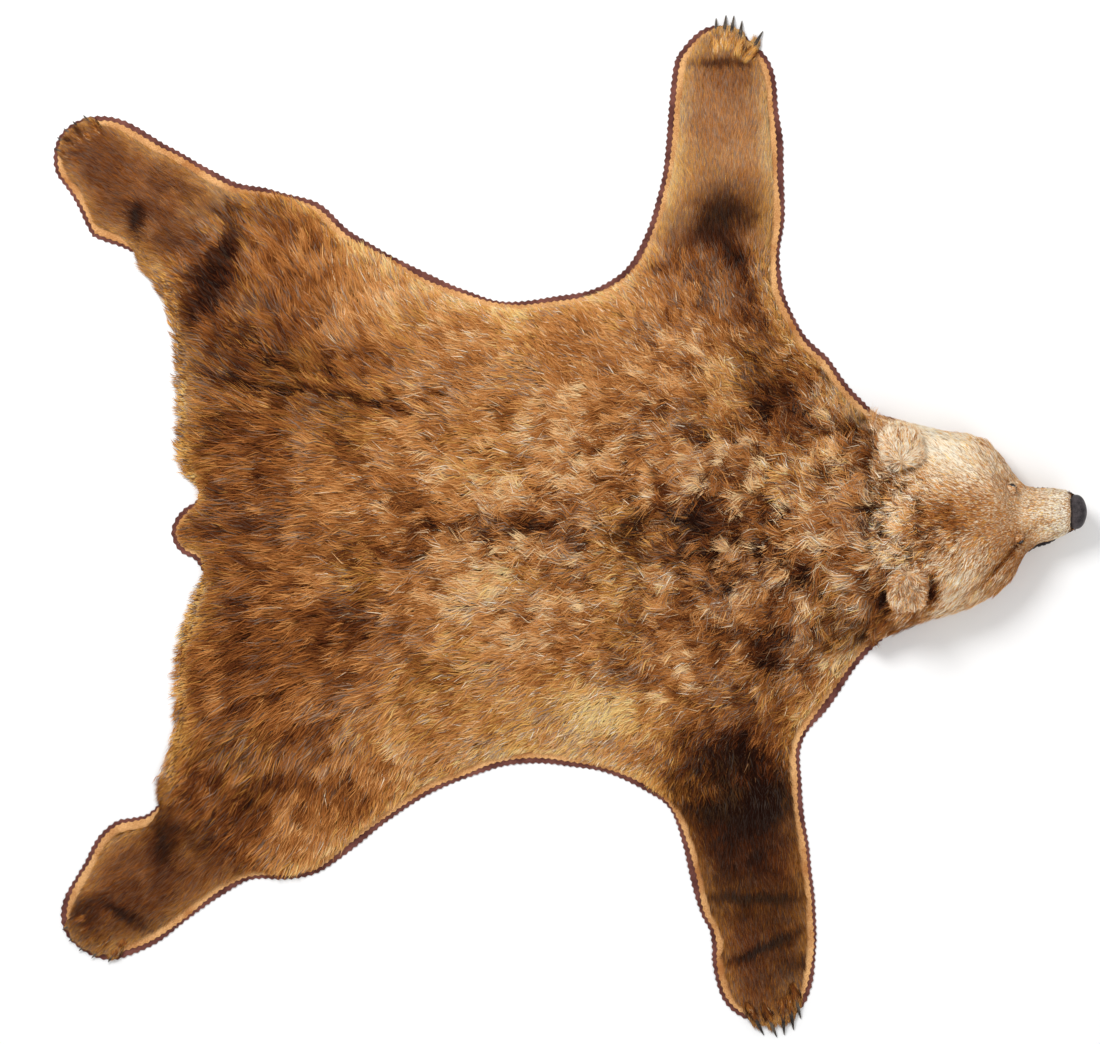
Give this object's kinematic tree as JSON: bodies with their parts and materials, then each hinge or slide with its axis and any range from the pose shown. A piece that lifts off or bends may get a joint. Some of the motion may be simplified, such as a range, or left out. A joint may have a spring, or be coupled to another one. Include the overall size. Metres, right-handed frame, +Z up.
{
  "type": "bearskin rug",
  "caption": "Bearskin rug laid flat with spread legs, short tail, mounted head and claws, edged with layered pinked felt.",
  "frame": {"origin": "on the floor below the middle of the back, under the centre of the whole rug", "axes": "+X to the nose, +Y to the animal's left side, +Z up off the floor"},
  "size_m": [2.0516, 2.045, 0.219],
  "materials": {
    "coat": "long brown fur",
    "face": "short cream fur",
    "nose_leather": "damp black leather",
    "eye_glass": "polished brown glass",
    "claw_horn": "satin horn",
    "dark_felt": "pressed felt",
    "gold_felt": "pressed felt"
  },
  "bodies": {
    "root": {"hide": "coat", "head": "face", "nose": "nose_leather", "eye_left": "eye_glass", "eye_right": "eye_glass", "claw_fore_left_1": "claw_horn", "claw_fore_left_2": "claw_horn", "claw_fore_left_3": "claw_horn", "claw_fore_left_4": "claw_horn", "claw_fore_left_5": "claw_horn", "claw_fore_right_1": "claw_horn", "claw_fore_right_2": "claw_horn", "claw_fore_right_3": "claw_horn", "claw_fore_right_4": "claw_horn", "claw_fore_right_5": "claw_horn", "claw_hind_left_1": "claw_horn", "claw_hind_left_2": "claw_horn", "claw_hind_left_3": "claw_horn", "claw_hind_left_4": "claw_horn", "claw_hind_left_5": "claw_horn", "claw_hind_right_1": "claw_horn", "claw_hind_right_2": "claw_horn", "claw_hind_right_3": "claw_horn", "claw_hind_right_4": "claw_horn", "claw_hind_right_5": "claw_horn", "felt_dark_1": "dark_felt", "felt_gold_1": "gold_felt", "felt_dark_2": "dark_felt", "felt_gold_2": "gold_felt", "felt_dark_3": "dark_felt", "felt_gold_3": "gold_felt", "felt_dark_4": "dark_felt", "felt_gold_4": "gold_felt", "felt_dark_5": "dark_felt", "felt_gold_5": "gold_felt", "felt_dark_6": "dark_felt", "felt_gold_6": "gold_felt", "felt_dark_7": "dark_felt", "felt_gold_7": "gold_felt", "felt_dark_8": "dark_felt", "felt_gold_8": "gold_felt"}
  },
  "joints": []
}
